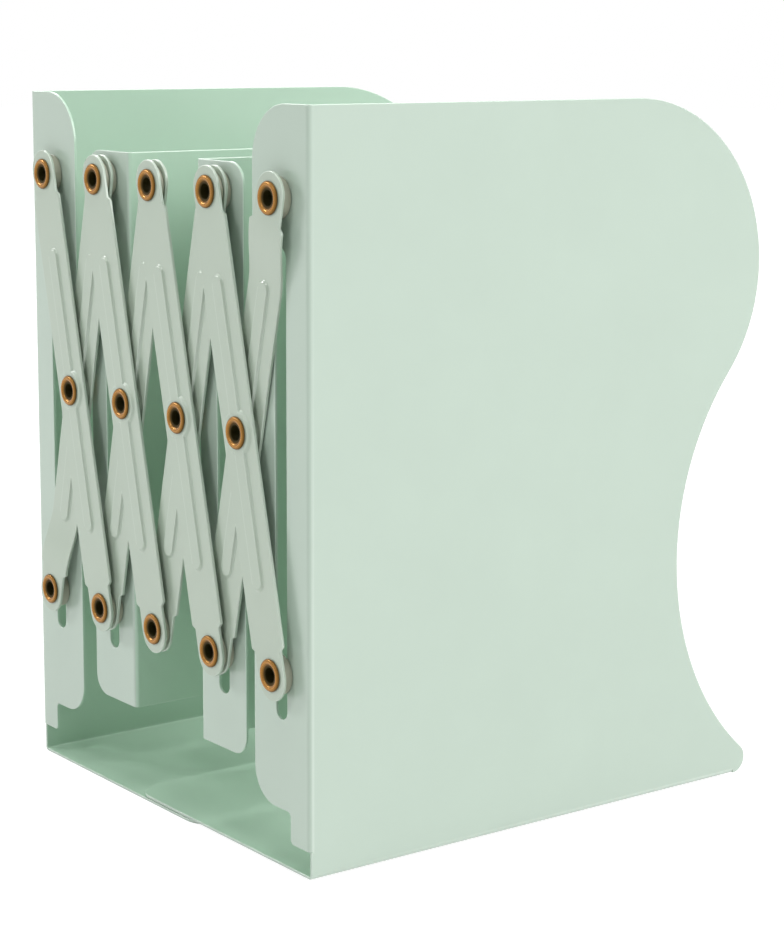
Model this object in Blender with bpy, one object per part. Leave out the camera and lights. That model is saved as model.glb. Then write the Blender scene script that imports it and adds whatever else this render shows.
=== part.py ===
"""An expanding sheet-steel bookend: two end panels and two dividers carried on a row of crossed links.

Everything is modelled in one local frame, whose X runs along the row of links from the left end panel's
outer face, whose Y runs back from the end flanges' front faces, and whose Z runs up from the shelf. The
empty "bookend" then puts the middle of the whole object's footprint at the world's origin.
"""

from math import atan2, cos, pi, sin, sqrt

import bmesh
import bpy
from mathutils import Vector
from mathutils.geometry import tessellate_polygon

MM = 0.001

# Stock and clearances
PANEL_SHEET = 0.8 * MM
LINK_SHEET = 0.9 * MM
RUNNING_GAP = 0.2 * MM
BEND_RADIUS = 1.8 * MM
RELIEF_WIDTH = 0.4 * MM
RELIEF_DEPTH = 0.5 * MM
WELD_DISTANCE = 0.001 * MM

# The row of crossed links
CELL_COUNT = 4
REST_PITCH = 30.0 * MM
PIVOT_SPACING = 129.5 * MM
BOTTOM_PIVOT_HEIGHT = 55.0 * MM
HEAD_RADIUS = 6.1 * MM
HEAD_MARGIN = 0.9 * MM
SHOULDER_REACH = 7.3 * MM
SHOULDER_LENGTH = 1.0 * MM
LINK_HALF_WIDTH = 7.5 * MM
BOSS_RADIUS = 6.6 * MM
RIB_HALF_WIDTH = 2.5 * MM
RIB_END_DISTANCE = 22.0 * MM
RIB_RISE = 0.6 * MM
RIB_SLOPE = 0.6 * MM
SPRING_LENGTH = 18.0 * MM

# Eyelets and washers
EYELET_BARREL_RADIUS = 2.4 * MM
EYELET_WALL = 0.35 * MM
EYELET_FLANGE_RADIUS = 4.45 * MM
EYELET_PROUD = 0.9 * MM
CLINCH_RADIUS = 4.1 * MM
CLINCH_THICKNESS = 0.5 * MM
LINK_WASHER_THICKNESS = 0.9 * MM
FLANGE_WASHER_THICKNESS = 1.2 * MM
WASHER_RADIUS = 5.6 * MM

# End panels
TOP_PIVOT_DROP = 24.0 * MM
END_FLANGE_WIDTH = 26.0 * MM
END_FLANGE_TOP_RADIUS = 15.0 * MM
LOBE_HEIGHT = 17.4 * MM
LOBE_RADIUS = 9.5 * MM
STRIP_WIDTH = 9.0 * MM
STRIP_HEIGHT = 8.8 * MM
STRIP_CORNER_RADIUS = 1.4 * MM
SLOT_LOWER_REACH = 12.7 * MM
SLOT_TOP_DROP = 13.0 * MM
END_BULGE_REACH = 161.5 * MM
END_TOP_RADIUS = 49.0 * MM
END_WAIST_REACH = 131.0 * MM
END_FOOT_REACH = 161.0 * MM
END_FOOT_RADIUS = 4.5 * MM
BASE_LENGTH = 92.0 * MM
BASE_CORNER_RADIUS = 9.0 * MM

# Dividers
DIVIDER_TOP_DROP = 16.0 * MM
DIVIDER_BOTTOM_HEIGHT = 26.5 * MM
DIVIDER_PIVOT_INSET = 12.0 * MM
DIVIDER_FREE_LAND = 11.0 * MM
DIVIDER_FLANGE_RADIUS = 6.0 * MM
DIVIDER_BULGE_REACH = 140.0 * MM
DIVIDER_TOP_RADIUS = 40.0 * MM
DIVIDER_WAIST_REACH = 118.0 * MM
DIVIDER_FOOT_REACH = 134.0 * MM
DIVIDER_FOOT_RADIUS = 8.0 * MM

# How finely curves are cut into straight runs
FULL_TURN_STEPS = 20
LARGE_ARC_STEPS = 14
SMALL_ARC_STEPS = 5
BEND_STEPS = 3
SOLVE_STEPS = 60

# The largest hollow radius that is tried, as a share of the rise that it has to span
LARGEST_WAIST_SHARE = 10.0

# Sizes that follow from those above
REST_ANGLE = atan2(REST_PITCH, sqrt(PIVOT_SPACING**2 - REST_PITCH**2))
PIVOT_RISE = PIVOT_SPACING * cos(REST_ANGLE)
TOP_PIVOT_HEIGHT = BOTTOM_PIVOT_HEIGHT + PIVOT_RISE
HEIGHT = TOP_PIVOT_HEIGHT + TOP_PIVOT_DROP
END_PIVOT_INSET = END_FLANGE_WIDTH / 2
WIDTH = CELL_COUNT * REST_PITCH + 2 * END_PIVOT_INSET
BORE_RADIUS = EYELET_BARREL_RADIUS + RUNNING_GAP
SLOT_BOTTOM = BOTTOM_PIVOT_HEIGHT - SLOT_LOWER_REACH
SLOT_TOP = TOP_PIVOT_HEIGHT - SLOT_TOP_DROP
DIVIDER_TOP = HEIGHT - DIVIDER_TOP_DROP
BASE_LIFT = PANEL_SHEET + RUNNING_GAP

# Depths of the layers: the links lie in front of the end flanges, the dividers' flanges behind them
REAR_LINK_BACK = -2 * RUNNING_GAP
DIVIDER_PLANE = REAR_LINK_BACK + 2 * RUNNING_GAP + FLANGE_WASHER_THICKNESS
REAR_LINK_FRONT = REAR_LINK_BACK - LINK_SHEET
FRONT_LINK_BACK = REAR_LINK_FRONT - LINK_WASHER_THICKNESS - 2 * RUNNING_GAP
FRONT_LINK_FRONT = FRONT_LINK_BACK - LINK_SHEET
END_WASHER_THICKNESS = -FRONT_LINK_BACK - 2 * RUNNING_GAP
FRONT_REACH = RIB_RISE - FRONT_LINK_FRONT + RUNNING_GAP + EYELET_PROUD
FRONT_PLANE = -(END_BULGE_REACH - FRONT_REACH) / 2

# Colours in linear light, roughness and metallic value of each finish
MINT_COAT = ((0.56, 0.69, 0.58), 0.55, 0.0)
COPPER_PLATE = ((0.62, 0.27, 0.09), 0.3, 1.0)
CLEAR_NYLON = ((0.45, 0.43, 0.36), 0.45, 0.0)


def pivot_x(index):
    """Where the row's end pivots of this number stand along the row, from 1 at the left."""
    return END_PIVOT_INSET + (index - 1) * REST_PITCH


def middle_x(index):
    return pivot_x(index) + REST_PITCH / 2


def arc(centre, radius, start, end, steps):
    """Points on an arc from one angle to another, both ends included."""
    turns = [start + (end - start) * step / steps for step in range(steps + 1)]
    return [(centre[0] + radius * cos(turn), centre[1] + radius * sin(turn)) for turn in turns]


def circle(centre, radius):
    return arc(centre, radius, 0, 2 * pi, FULL_TURN_STEPS)[:-1]


def slot(centre_x, bottom, top, radius):
    """A slot with round ends, as one loop."""
    steps = FULL_TURN_STEPS // 2
    upper = arc((centre_x, top - radius), radius, 0, pi, steps)
    lower = arc((centre_x, bottom + radius), radius, pi, 2 * pi, steps)
    return upper + lower


def waist_radius(upper, lower, rise):
    """The radius of the hollow arc that touches the top corner's circle and the foot's circle.

    Each pair of lengths is (a, b): the arc's centre stands sqrt(a * (b + 2 * radius)) away in height
    from that circle's centre, and the two heights together make the rise between the circles.
    """
    low, high = 0.0, LARGEST_WAIST_SHARE * rise
    for _ in range(SOLVE_STEPS):
        radius = (low + high) / 2
        reach = sum(sqrt(max(0.0, a * (b + 2 * radius))) for a, b in (upper, lower))
        low, high = (radius, high) if reach < rise else (low, radius)
    return radius


def rear_edge(bulge, top_radius, waist, foot, foot_radius, bottom, top):
    """The S-shaped rear edge as (depth, height) points, from the top edge down to the bottom edge."""
    crown = (bulge - top_radius, top - top_radius)
    heel = (foot - foot_radius, bottom + foot_radius)
    above, below = waist - crown[0], waist - heel[0]
    upper = (top_radius - above, top_radius + above)
    lower = (foot_radius - below, foot_radius + below)
    radius = waist_radius(upper, lower, crown[1] - heel[1])
    hollow = (waist + radius, heel[1] + sqrt(max(0.0, lower[0] * (lower[1] + 2 * radius))))
    to_crown = atan2(crown[1] - hollow[1], crown[0] - hollow[0])
    to_heel = atan2(heel[1] - hollow[1], heel[0] - hollow[0]) + 2 * pi
    points = arc(crown, top_radius, pi / 2, to_crown - pi, LARGE_ARC_STEPS)
    points += arc(hollow, radius, to_crown, to_heel, LARGE_ARC_STEPS)[1:]
    points += arc(heel, foot_radius, to_heel - pi, -pi / 2, SMALL_ARC_STEPS)[1:]
    return points


def fill(bm, loops, place):
    """Fills the flat region between an outer loop and its holes with triangles, put in 3-D by place."""
    flat = [[Vector((a, b, 0.0)) for a, b in loop] for loop in loops]
    verts = [bm.verts.new(place(a, b)) for loop in loops for a, b in loop]
    for triangle in tessellate_polygon(flat):
        bm.faces.new([verts[index] for index in triangle])
    return verts


def bend(bm, ends, place):
    """Rolls a quarter-round strip between two flat regions; place(turn, end) gives its points."""
    turns = [pi / 2 * step / BEND_STEPS for step in range(BEND_STEPS + 1)]
    rows = [[bm.verts.new(place(turn, end)) for end in ends] for turn in turns]
    for near, far in zip(rows, rows[1:]):
        bm.faces.new((near[0], near[1], far[1], far[0]))


def rolled(turn):
    """How far round the bend a point has come, as (towards the flange, back from its face)."""
    return BEND_RADIUS * (1 - cos(turn)), BEND_RADIUS * (1 - sin(turn))


def finish_skin(bm, name, mirrored):
    """Joins the regions of a skin, turns its faces outwards and makes it a mesh."""
    bmesh.ops.remove_doubles(bm, verts=bm.verts, dist=WELD_DISTANCE)
    bmesh.ops.recalc_face_normals(bm, faces=bm.faces)
    side_face = max(bm.faces, key=lambda face: abs(face.normal.x) * face.calc_area())
    if side_face.normal.x > 0:
        bmesh.ops.reverse_faces(bm, faces=bm.faces)
    if mirrored:
        bmesh.ops.scale(bm, vec=(-1, 1, 1), verts=bm.verts)
        bmesh.ops.reverse_faces(bm, faces=bm.faces)
    mesh = bpy.data.meshes.new(name)
    bm.to_mesh(mesh)
    bm.free()
    return mesh


def end_flange_loop():
    """The end flange's outline as (across, height), round from the bend's top to its bottom."""
    right = END_FLANGE_WIDTH
    top_centre = (right - END_FLANGE_TOP_RADIUS, HEIGHT - END_FLANGE_TOP_RADIUS)
    lobe_centre = (right - LOBE_RADIUS, LOBE_HEIGHT + LOBE_RADIUS)
    notch = STRIP_CORNER_RADIUS
    notch_centre = (STRIP_WIDTH + notch, LOBE_HEIGHT - notch)
    toe_centre = (STRIP_WIDTH - notch, STRIP_HEIGHT + notch)
    points = [(BEND_RADIUS, STRIP_HEIGHT)]
    points += arc(toe_centre, notch, -pi / 2, 0, SMALL_ARC_STEPS)
    points += arc(notch_centre, notch, pi, pi / 2, SMALL_ARC_STEPS)
    points += arc(lobe_centre, LOBE_RADIUS, -pi / 2, 0, SMALL_ARC_STEPS)
    points += arc(top_centre, END_FLANGE_TOP_RADIUS, 0, pi / 2, SMALL_ARC_STEPS)
    points += [(BEND_RADIUS, HEIGHT)]
    return points


def end_panel_mesh(name, floor, mirrored):
    """One end panel's outer skin: side plate, front flange and the base that it stands on."""
    bm = bmesh.new()
    bend_line = floor + BEND_RADIUS
    base_back = END_FOOT_REACH - END_FOOT_RADIUS - RELIEF_WIDTH
    base_relief = bend_line + RELIEF_DEPTH
    plate = [(base_back + RELIEF_WIDTH, base_relief), (base_back, base_relief)]
    plate += [(base_back, bend_line), (0.0, bend_line), (0.0, STRIP_HEIGHT - RELIEF_WIDTH)]
    plate += [(BEND_RADIUS + RELIEF_DEPTH, STRIP_HEIGHT - RELIEF_WIDTH)]
    plate += [(BEND_RADIUS + RELIEF_DEPTH, STRIP_HEIGHT)]
    plate += [(BEND_RADIUS, STRIP_HEIGHT), (BEND_RADIUS, HEIGHT)]
    plate += rear_edge(
        END_BULGE_REACH,
        END_TOP_RADIUS,
        END_WAIST_REACH,
        END_FOOT_REACH,
        END_FOOT_RADIUS,
        floor,
        HEIGHT,
    )
    fill(bm, [plate], lambda y, z: (0.0, y, z))

    pivot = (END_PIVOT_INSET, TOP_PIVOT_HEIGHT)
    holes = [circle(pivot, BORE_RADIUS), slot(END_PIVOT_INSET, SLOT_BOTTOM, SLOT_TOP, BORE_RADIUS)]
    fill(bm, [end_flange_loop()] + holes, lambda x, z: (x, 0.0, z))
    bend(bm, (STRIP_HEIGHT, HEIGHT), lambda turn, z: (*rolled(turn), z))

    corner = BASE_CORNER_RADIUS
    tip = BASE_LENGTH - corner
    base = [(BEND_RADIUS, base_back), (BEND_RADIUS, 0.0)]
    base += arc((tip, corner), corner, -pi / 2, 0, SMALL_ARC_STEPS)
    base += arc((tip, base_back - corner), corner, 0, pi / 2, SMALL_ARC_STEPS)
    fill(bm, [base], lambda x, y: (x, y, floor))
    bend(bm, (0.0, base_back), lambda turn, y: (rolled(turn)[0], y, floor + rolled(turn)[1]))
    return finish_skin(bm, name, mirrored)


def divider_mesh(name, mirrored):
    """One divider's outer skin: a side plate and a narrow front flange."""
    bm = bmesh.new()
    plate = [(BEND_RADIUS, DIVIDER_BOTTOM_HEIGHT), (BEND_RADIUS, DIVIDER_TOP)]
    plate += rear_edge(
        DIVIDER_BULGE_REACH,
        DIVIDER_TOP_RADIUS,
        DIVIDER_WAIST_REACH,
        DIVIDER_FOOT_REACH,
        DIVIDER_FOOT_RADIUS,
        DIVIDER_BOTTOM_HEIGHT,
        DIVIDER_TOP,
    )
    fill(bm, [plate], lambda y, z: (0.0, y, z))

    corner = DIVIDER_FLANGE_RADIUS
    free = DIVIDER_PIVOT_INSET + DIVIDER_FREE_LAND - corner
    flange = [(BEND_RADIUS, DIVIDER_BOTTOM_HEIGHT)]
    flange += arc((free, DIVIDER_BOTTOM_HEIGHT + corner), corner, -pi / 2, 0, SMALL_ARC_STEPS)
    flange += arc((free, DIVIDER_TOP - corner), corner, 0, pi / 2, SMALL_ARC_STEPS)
    flange += [(BEND_RADIUS, DIVIDER_TOP)]
    pivot = (DIVIDER_PIVOT_INSET, TOP_PIVOT_HEIGHT)
    holes = [circle(pivot, BORE_RADIUS)]
    holes += [slot(DIVIDER_PIVOT_INSET, SLOT_BOTTOM, SLOT_TOP, BORE_RADIUS)]
    fill(bm, [flange] + holes, lambda x, z: (x, 0.0, z))
    bend(bm, (DIVIDER_BOTTOM_HEIGHT, DIVIDER_TOP), lambda turn, z: (*rolled(turn), z))
    return finish_skin(bm, name, mirrored)


def both_ends(points):
    """A half outline and the same turned half a turn, as one loop."""
    return points + [(-x, -z) for x, z in points]


def link_outline():
    """A link's outline as (across, along), with a narrower round head reaching past each end pivot."""
    reach = PIVOT_SPACING / 2
    shoulder = reach - SHOULDER_REACH
    spring = shoulder - SPRING_LENGTH
    points = [(LINK_HALF_WIDTH, -spring), (LINK_HALF_WIDTH, spring), (LINK_HALF_WIDTH, shoulder)]
    points += [(HEAD_RADIUS, shoulder + SHOULDER_LENGTH)]
    points += arc((0.0, reach + HEAD_MARGIN), HEAD_RADIUS, 0, pi, FULL_TURN_STEPS // 2)
    points += [(-HEAD_RADIUS, shoulder + SHOULDER_LENGTH), (-LINK_HALF_WIDTH, shoulder)]
    return both_ends(points)


def emboss_loop(inset):
    """The raised boss and its two ribs as one loop, drawn in from their foot by the inset."""
    boss = BOSS_RADIUS - inset
    half = RIB_HALF_WIDTH - inset
    tip = PIVOT_SPACING / 2 - RIB_END_DISTANCE - RIB_HALF_WIDTH
    spring = PIVOT_SPACING / 2 - SHOULDER_REACH - SPRING_LENGTH
    root = atan2(sqrt(boss**2 - half**2), half)
    points = arc((0.0, 0.0), boss, -root, root, FULL_TURN_STEPS // 2)
    points += [(half, spring)]
    points += arc((0.0, tip), half, 0, pi, SMALL_ARC_STEPS)
    points += [(-half, spring)]
    return both_ends(points)


def link_mesh(name, top_spring, bottom_spring):
    """A pressed link, front face at depth zero, whose heads stand back by the two springs."""
    reach = PIVOT_SPACING / 2
    shoulder = reach - SHOULDER_REACH

    def sprung(z):
        share = (abs(z) - shoulder + SPRING_LENGTH) / SPRING_LENGTH
        return (top_spring if z > 0 else bottom_spring) * min(1.0, max(0.0, share))

    outline = link_outline()
    foot, crest = emboss_loop(0.0), emboss_loop(RIB_SLOPE)
    end_bores = [circle((0.0, reach), BORE_RADIUS), circle((0.0, -reach), BORE_RADIUS)]
    middle_bore = circle((0.0, 0.0), BORE_RADIUS)
    bm = bmesh.new()
    flat = fill(bm, [outline, *end_bores, foot], lambda x, z: (x, sprung(z), z))
    raised = fill(bm, [crest, middle_bore], lambda x, z: (x, sprung(z) - RIB_RISE, z))
    foot_verts = flat[-len(foot):]
    for index in range(len(foot)):
        after = (index + 1) % len(foot)
        bm.faces.new((foot_verts[index], foot_verts[after], raised[after], raised[index]))
    front = list(bm.faces)
    bmesh.ops.recalc_face_normals(bm, faces=front)
    if sum(face.normal.y * face.calc_area() for face in front) > 0:
        bmesh.ops.reverse_faces(bm, faces=front)
    rim = [edge for edge in bm.edges if edge.is_boundary]
    made = bmesh.ops.duplicate(bm, geom=list(bm.verts) + list(bm.edges) + front)
    back = made["vert_map"]
    copies = [item for item in made["geom"] if isinstance(item, bmesh.types.BMFace)]
    bmesh.ops.reverse_faces(bm, faces=copies)
    for edge in rim:
        one, two = edge.link_loops[0].vert, edge.link_loops[0].link_loop_next.vert
        bm.faces.new((two, one, back[one], back[two]))
    for vert in {back[vert] for face in front for vert in face.verts}:
        vert.co.y += LINK_SHEET
    mesh = bpy.data.meshes.new(name)
    bm.to_mesh(mesh)
    bm.free()
    return mesh


def turned_mesh(name, profile):
    """Turns a closed profile of (radius, depth) points about the Y axis."""
    bm = bmesh.new()
    rings = []
    for step in range(FULL_TURN_STEPS):
        turn = 2 * pi * step / FULL_TURN_STEPS
        points = [(radius * cos(turn), depth, radius * sin(turn)) for radius, depth in profile]
        rings.append([bm.verts.new(point) for point in points])
    for step, ring in enumerate(rings):
        following = rings[(step + 1) % len(rings)]
        for index in range(len(profile)):
            after = (index + 1) % len(profile)
            bm.faces.new((ring[index], ring[after], following[after], following[index]))
    bmesh.ops.recalc_face_normals(bm, faces=bm.faces)
    mesh = bpy.data.meshes.new(name)
    bm.to_mesh(mesh)
    bm.free()
    return mesh


def eyelet_mesh(name, grip):
    """A hollow eyelet: a rolled flange in front of depth zero, a barrel and a flat clinch behind.

    The grip is the depth of everything that it holds, with a running gap at each end.
    """
    bore = EYELET_BARREL_RADIUS - EYELET_WALL
    edge = EYELET_PROUD / 2
    crest = (EYELET_BARREL_RADIUS + EYELET_FLANGE_RADIUS) / 2
    profile = [
        (bore, grip + CLINCH_THICKNESS),
        (CLINCH_RADIUS, grip + CLINCH_THICKNESS),
        (CLINCH_RADIUS, grip),
        (EYELET_BARREL_RADIUS, grip),
        (EYELET_BARREL_RADIUS, 0.0),
        (EYELET_FLANGE_RADIUS - EYELET_WALL, 0.0),
        (EYELET_FLANGE_RADIUS, -edge),
        (crest + EYELET_WALL, -EYELET_PROUD),
        (crest - EYELET_WALL, -EYELET_PROUD),
        (EYELET_BARREL_RADIUS, -edge),
        (bore, 0.0),
    ]
    return turned_mesh(name, profile)


def washer_mesh(name, thickness):
    """A flat washer whose front face lies at depth zero."""
    profile = [(BORE_RADIUS, 0.0), (WASHER_RADIUS, 0.0)]
    profile += [(WASHER_RADIUS, thickness), (BORE_RADIUS, thickness)]
    return turned_mesh(name, profile)


def add_finish(name, finish):
    """A plain material of one colour, roughness and metallic value."""
    colour, roughness, metallic = finish
    material = bpy.data.materials.new(name + "_finish")
    material.use_nodes = True
    shader = material.node_tree.nodes["Principled BSDF"]
    shader.inputs["Base Color"].default_value = (*colour, 1.0)
    shader.inputs["Roughness"].default_value = roughness
    shader.inputs["Metallic"].default_value = metallic
    material.diffuse_color = (*colour, 1.0)
    return material


def add_axis(name, place, parent):
    """An empty that marks a pivot's axis; place is in the bookend's own frame."""
    axis = bpy.data.objects.new(name, None)
    axis["place"] = place
    origin = parent["place"] if parent else (0.0, 0.0, 0.0)
    axis.location = Vector(place) - Vector(origin)
    axis.parent = parent
    bpy.context.scene.collection.objects.link(axis)
    return axis


def add_part(name, mesh, finish, place, parent, turn=0.0):
    """A named solid at a place in the bookend's own frame, turned about the Y axis there."""
    part = bpy.data.objects.new(name, mesh)
    part.parent = parent
    part.location = Vector(place) - Vector(parent["place"])
    part.rotation_euler = (0.0, turn, 0.0)
    bpy.context.scene.collection.objects.link(part)
    if not mesh.materials:
        mesh.materials.append(None)
        mesh.shade_smooth()
        mesh.set_sharp_from_angle(angle=pi / 6)
    part.material_slots[0].link = "OBJECT"
    part.material_slots[0].material = add_finish(name, finish)
    return part


def add_sheet_part(name, mesh, place, parent):
    """A bent sheet, drawn as its outer skin and thickened inwards."""
    part = add_part(name, mesh, MINT_COAT, place, parent)
    solidify = part.modifiers.new("Sheet thickness", "SOLIDIFY")
    solidify.thickness = PANEL_SHEET
    solidify.offset = -1.0
    solidify.use_even_offset = True
    return part


def add_axes():
    """The empties that carry every moving piece, each on its own pivot and on the piece that holds it."""
    axes = {"bookend": add_axis("bookend", (0.0, 0.0, 0.0), None)}
    axes["bookend"].location = (-WIDTH / 2, FRONT_PLANE, 0.0)
    middle = (TOP_PIVOT_HEIGHT + BOTTOM_PIVOT_HEIGHT) / 2
    carrier = axes["bookend"]
    for index in range(1, CELL_COUNT + 1):
        top = (pivot_x(index), 0.0, TOP_PIVOT_HEIGHT)
        front = add_axis(f"front_link_{index}_axis", top, carrier)
        rear = add_axis(f"rear_link_{index}_axis", (middle_x(index), 0.0, middle), front)
        axes[f"front_{index}"], axes[f"rear_{index}"] = front, rear
        carrier = rear
    places = {"left_divider": 2, "right_divider": CELL_COUNT, "right_end_panel": CELL_COUNT + 1}
    for name, index in places.items():
        top = (pivot_x(index), 0.0, TOP_PIVOT_HEIGHT)
        axes[name] = add_axis(name + "_axis", top, axes[f"rear_{index - 1}"])
    return axes


def add_panels(axes):
    left = end_panel_mesh("left_end_panel", 0.0, False)
    add_sheet_part("left_end_panel", left, (0.0, 0.0, 0.0), axes["bookend"])
    right = end_panel_mesh("right_end_panel", BASE_LIFT, True)
    add_sheet_part("right_end_panel", right, (WIDTH, 0.0, 0.0), axes["right_end_panel"])
    place = (pivot_x(2) + DIVIDER_PIVOT_INSET, DIVIDER_PLANE, 0.0)
    add_sheet_part("left_divider", divider_mesh("left_divider", True), place, axes["left_divider"])
    place = (pivot_x(CELL_COUNT) - DIVIDER_PIVOT_INSET, DIVIDER_PLANE, 0.0)
    add_sheet_part("right_divider", divider_mesh("right_divider", False), place, axes["right_divider"])


def add_links(axes):
    """Eight pressed links; the two rear heads on the end panels are sprung to the front layer."""
    spring = FRONT_LINK_BACK - REAR_LINK_BACK
    plain = link_mesh("plain_link", 0.0, 0.0)
    rear = {1: link_mesh("first_rear_link", 0.0, spring)}
    rear[CELL_COUNT] = link_mesh("last_rear_link", spring, 0.0)
    middle = (TOP_PIVOT_HEIGHT + BOTTOM_PIVOT_HEIGHT) / 2
    for index in range(1, CELL_COUNT + 1):
        place = (middle_x(index), FRONT_LINK_FRONT, middle)
        add_part(f"front_link_{index}", plain, MINT_COAT, place, axes[f"front_{index}"], -REST_ANGLE)
        place = (middle_x(index), REAR_LINK_FRONT, middle)
        mesh = rear.get(index, plain)
        add_part(f"rear_link_{index}", mesh, MINT_COAT, place, axes[f"rear_{index}"], REST_ANGLE)


def top_axis(index):
    """What carries the eyelet and washers of a top pivot."""
    return "bookend" if index == 1 else f"rear_{index - 1}"


def bottom_axis(index):
    """What carries the eyelet and washers of a bottom pivot, which slides in its flange's slot."""
    return "rear_1" if index == 1 else f"front_{index - 1}"


def add_eyelet_row(axes, row, height, holders):
    """One row of eyelets; holders gives each one's axis and the faces that it grips."""
    for index, (x, axis, front, back) in enumerate(holders, start=1):
        grip = back - front + 2 * RUNNING_GAP
        name = f"{row}_eyelet_{index}"
        place = (x, front - RUNNING_GAP, height)
        add_part(name, eyelet_mesh(name, grip), COPPER_PLATE, place, axes[axis])


def add_eyelets(axes):
    """Five eyelets along the top, four at the crossings and five along the bottom."""
    end_back = PANEL_SHEET
    divider_back = DIVIDER_PLANE + PANEL_SHEET
    raised = FRONT_LINK_FRONT - RIB_RISE
    hollow = REAR_LINK_BACK - RIB_RISE
    last = CELL_COUNT + 1
    backs = {1: end_back, 2: divider_back, CELL_COUNT: divider_back, last: end_back}
    top, bottom = [], []
    for index in range(1, last + 1):
        back = backs.get(index, REAR_LINK_BACK)
        top.append((pivot_x(index), top_axis(index), FRONT_LINK_FRONT, back))
        bottom.append((pivot_x(index), bottom_axis(index), FRONT_LINK_FRONT, back))
    middle = [(middle_x(index), f"front_{index}", raised, hollow) for index in range(1, last)]
    add_eyelet_row(axes, "top", TOP_PIVOT_HEIGHT, top)
    add_eyelet_row(axes, "middle", (TOP_PIVOT_HEIGHT + BOTTOM_PIVOT_HEIGHT) / 2, middle)
    add_eyelet_row(axes, "bottom", BOTTOM_PIVOT_HEIGHT, bottom)


def add_washers(axes):
    """A washer between each pair of links that share a pivot, and one before each flange."""
    between = washer_mesh("link_washer", LINK_WASHER_THICKNESS)
    before = washer_mesh("flange_washer", FLANGE_WASHER_THICKNESS)
    thick = washer_mesh("end_washer", END_WASHER_THICKNESS)
    between_depth = FRONT_LINK_BACK + RUNNING_GAP
    last = CELL_COUNT + 1
    middle = (TOP_PIVOT_HEIGHT + BOTTOM_PIVOT_HEIGHT) / 2
    for index in range(1, last):
        place = (middle_x(index), between_depth - RIB_RISE, middle)
        add_part(f"middle_link_washer_{index}", between, CLEAR_NYLON, place, axes[f"front_{index}"])
    rows = (("top", TOP_PIVOT_HEIGHT, top_axis), ("bottom", BOTTOM_PIVOT_HEIGHT, bottom_axis))
    for row, height, axis_of in rows:
        for index in range(1, last + 1):
            axis = axes[axis_of(index)]
            if 1 < index < last:
                place = (pivot_x(index), between_depth, height)
                add_part(f"{row}_link_washer_{index}", between, CLEAR_NYLON, place, axis)
            if index in (1, 2, CELL_COUNT, last):
                at_end = index in (1, last)
                front = (FRONT_LINK_BACK if at_end else REAR_LINK_BACK) + RUNNING_GAP
                place = (pivot_x(index), front, height)
                mesh = thick if at_end else before
                add_part(f"{row}_flange_washer_{index}", mesh, CLEAR_NYLON, place, axis)


def main():
    for leftover in list(bpy.data.objects):
        bpy.data.objects.remove(leftover, do_unlink=True)
    axes = add_axes()
    add_panels(axes)
    add_links(axes)
    add_eyelets(axes)
    add_washers(axes)


main()
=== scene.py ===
"""The finished look of an expanding sheet-steel bookend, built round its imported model.

Two end panels and two dividers, bent from powder-coated sheet, hang on a row of pressed links. Hollow
copper eyelets hold the links, with nylon washers between the layers. The file is laid out as an add-on:
settings first, then one operator for each group of pieces, a panel that lists them, and main at the end.
"""

from math import asin, atan2, cos, pi, radians, sin, sqrt

import bmesh
import bpy
from bpy.props import FloatProperty, FloatVectorProperty, IntProperty, PointerProperty
from mathutils import Matrix, Vector
from mathutils.geometry import tessellate_polygon


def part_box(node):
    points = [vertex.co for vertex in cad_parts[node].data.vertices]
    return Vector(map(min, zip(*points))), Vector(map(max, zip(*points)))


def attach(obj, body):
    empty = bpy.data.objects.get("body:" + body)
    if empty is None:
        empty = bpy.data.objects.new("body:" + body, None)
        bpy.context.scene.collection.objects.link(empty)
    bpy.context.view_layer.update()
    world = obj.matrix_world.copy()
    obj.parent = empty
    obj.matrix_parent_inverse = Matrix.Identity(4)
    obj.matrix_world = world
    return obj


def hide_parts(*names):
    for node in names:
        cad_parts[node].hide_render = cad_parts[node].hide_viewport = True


bl_info = {
    "name": "Expanding bookend",
    "version": (1, 0, 0),
    "blender": (4, 5, 0),
    "location": "3D View > Sidebar > Bookend",
    "description": "Dresses the packed model of an expanding sheet-steel bookend",
    "category": "Object",
}

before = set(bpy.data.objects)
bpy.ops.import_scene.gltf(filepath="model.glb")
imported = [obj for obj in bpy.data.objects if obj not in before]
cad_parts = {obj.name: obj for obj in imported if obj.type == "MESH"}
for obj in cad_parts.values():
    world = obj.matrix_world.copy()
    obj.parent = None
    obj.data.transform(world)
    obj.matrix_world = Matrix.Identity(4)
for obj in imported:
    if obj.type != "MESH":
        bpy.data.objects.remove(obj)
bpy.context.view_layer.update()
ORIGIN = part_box("left_end_panel")[0]

MM = 0.001

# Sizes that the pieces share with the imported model
CELL_COUNT = 4
REST_PITCH = 30.0 * MM
PIVOT_SPACING = 129.5 * MM
BOTTOM_PIVOT_HEIGHT = 55.0 * MM
RUNNING_GAP = 0.2 * MM
BORE_RADIUS = 2.6 * MM
REST_ANGLE = atan2(REST_PITCH, sqrt(PIVOT_SPACING**2 - REST_PITCH**2))
TOP_PIVOT_HEIGHT = BOTTOM_PIVOT_HEIGHT + PIVOT_SPACING * cos(REST_ANGLE)
MIDDLE_HEIGHT = (TOP_PIVOT_HEIGHT + BOTTOM_PIVOT_HEIGHT) / 2
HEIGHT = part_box("left_end_panel")[1].z
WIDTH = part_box("right_end_panel")[1].x - ORIGIN.x
END_PIVOT_INSET = 13.0 * MM
SLOT_BOTTOM = BOTTOM_PIVOT_HEIGHT - 12.7 * MM
SLOT_TOP = TOP_PIVOT_HEIGHT - 13.0 * MM
SHOULDER_REACH = 7.3 * MM
SPRING_LENGTH = 18.0 * MM

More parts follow.
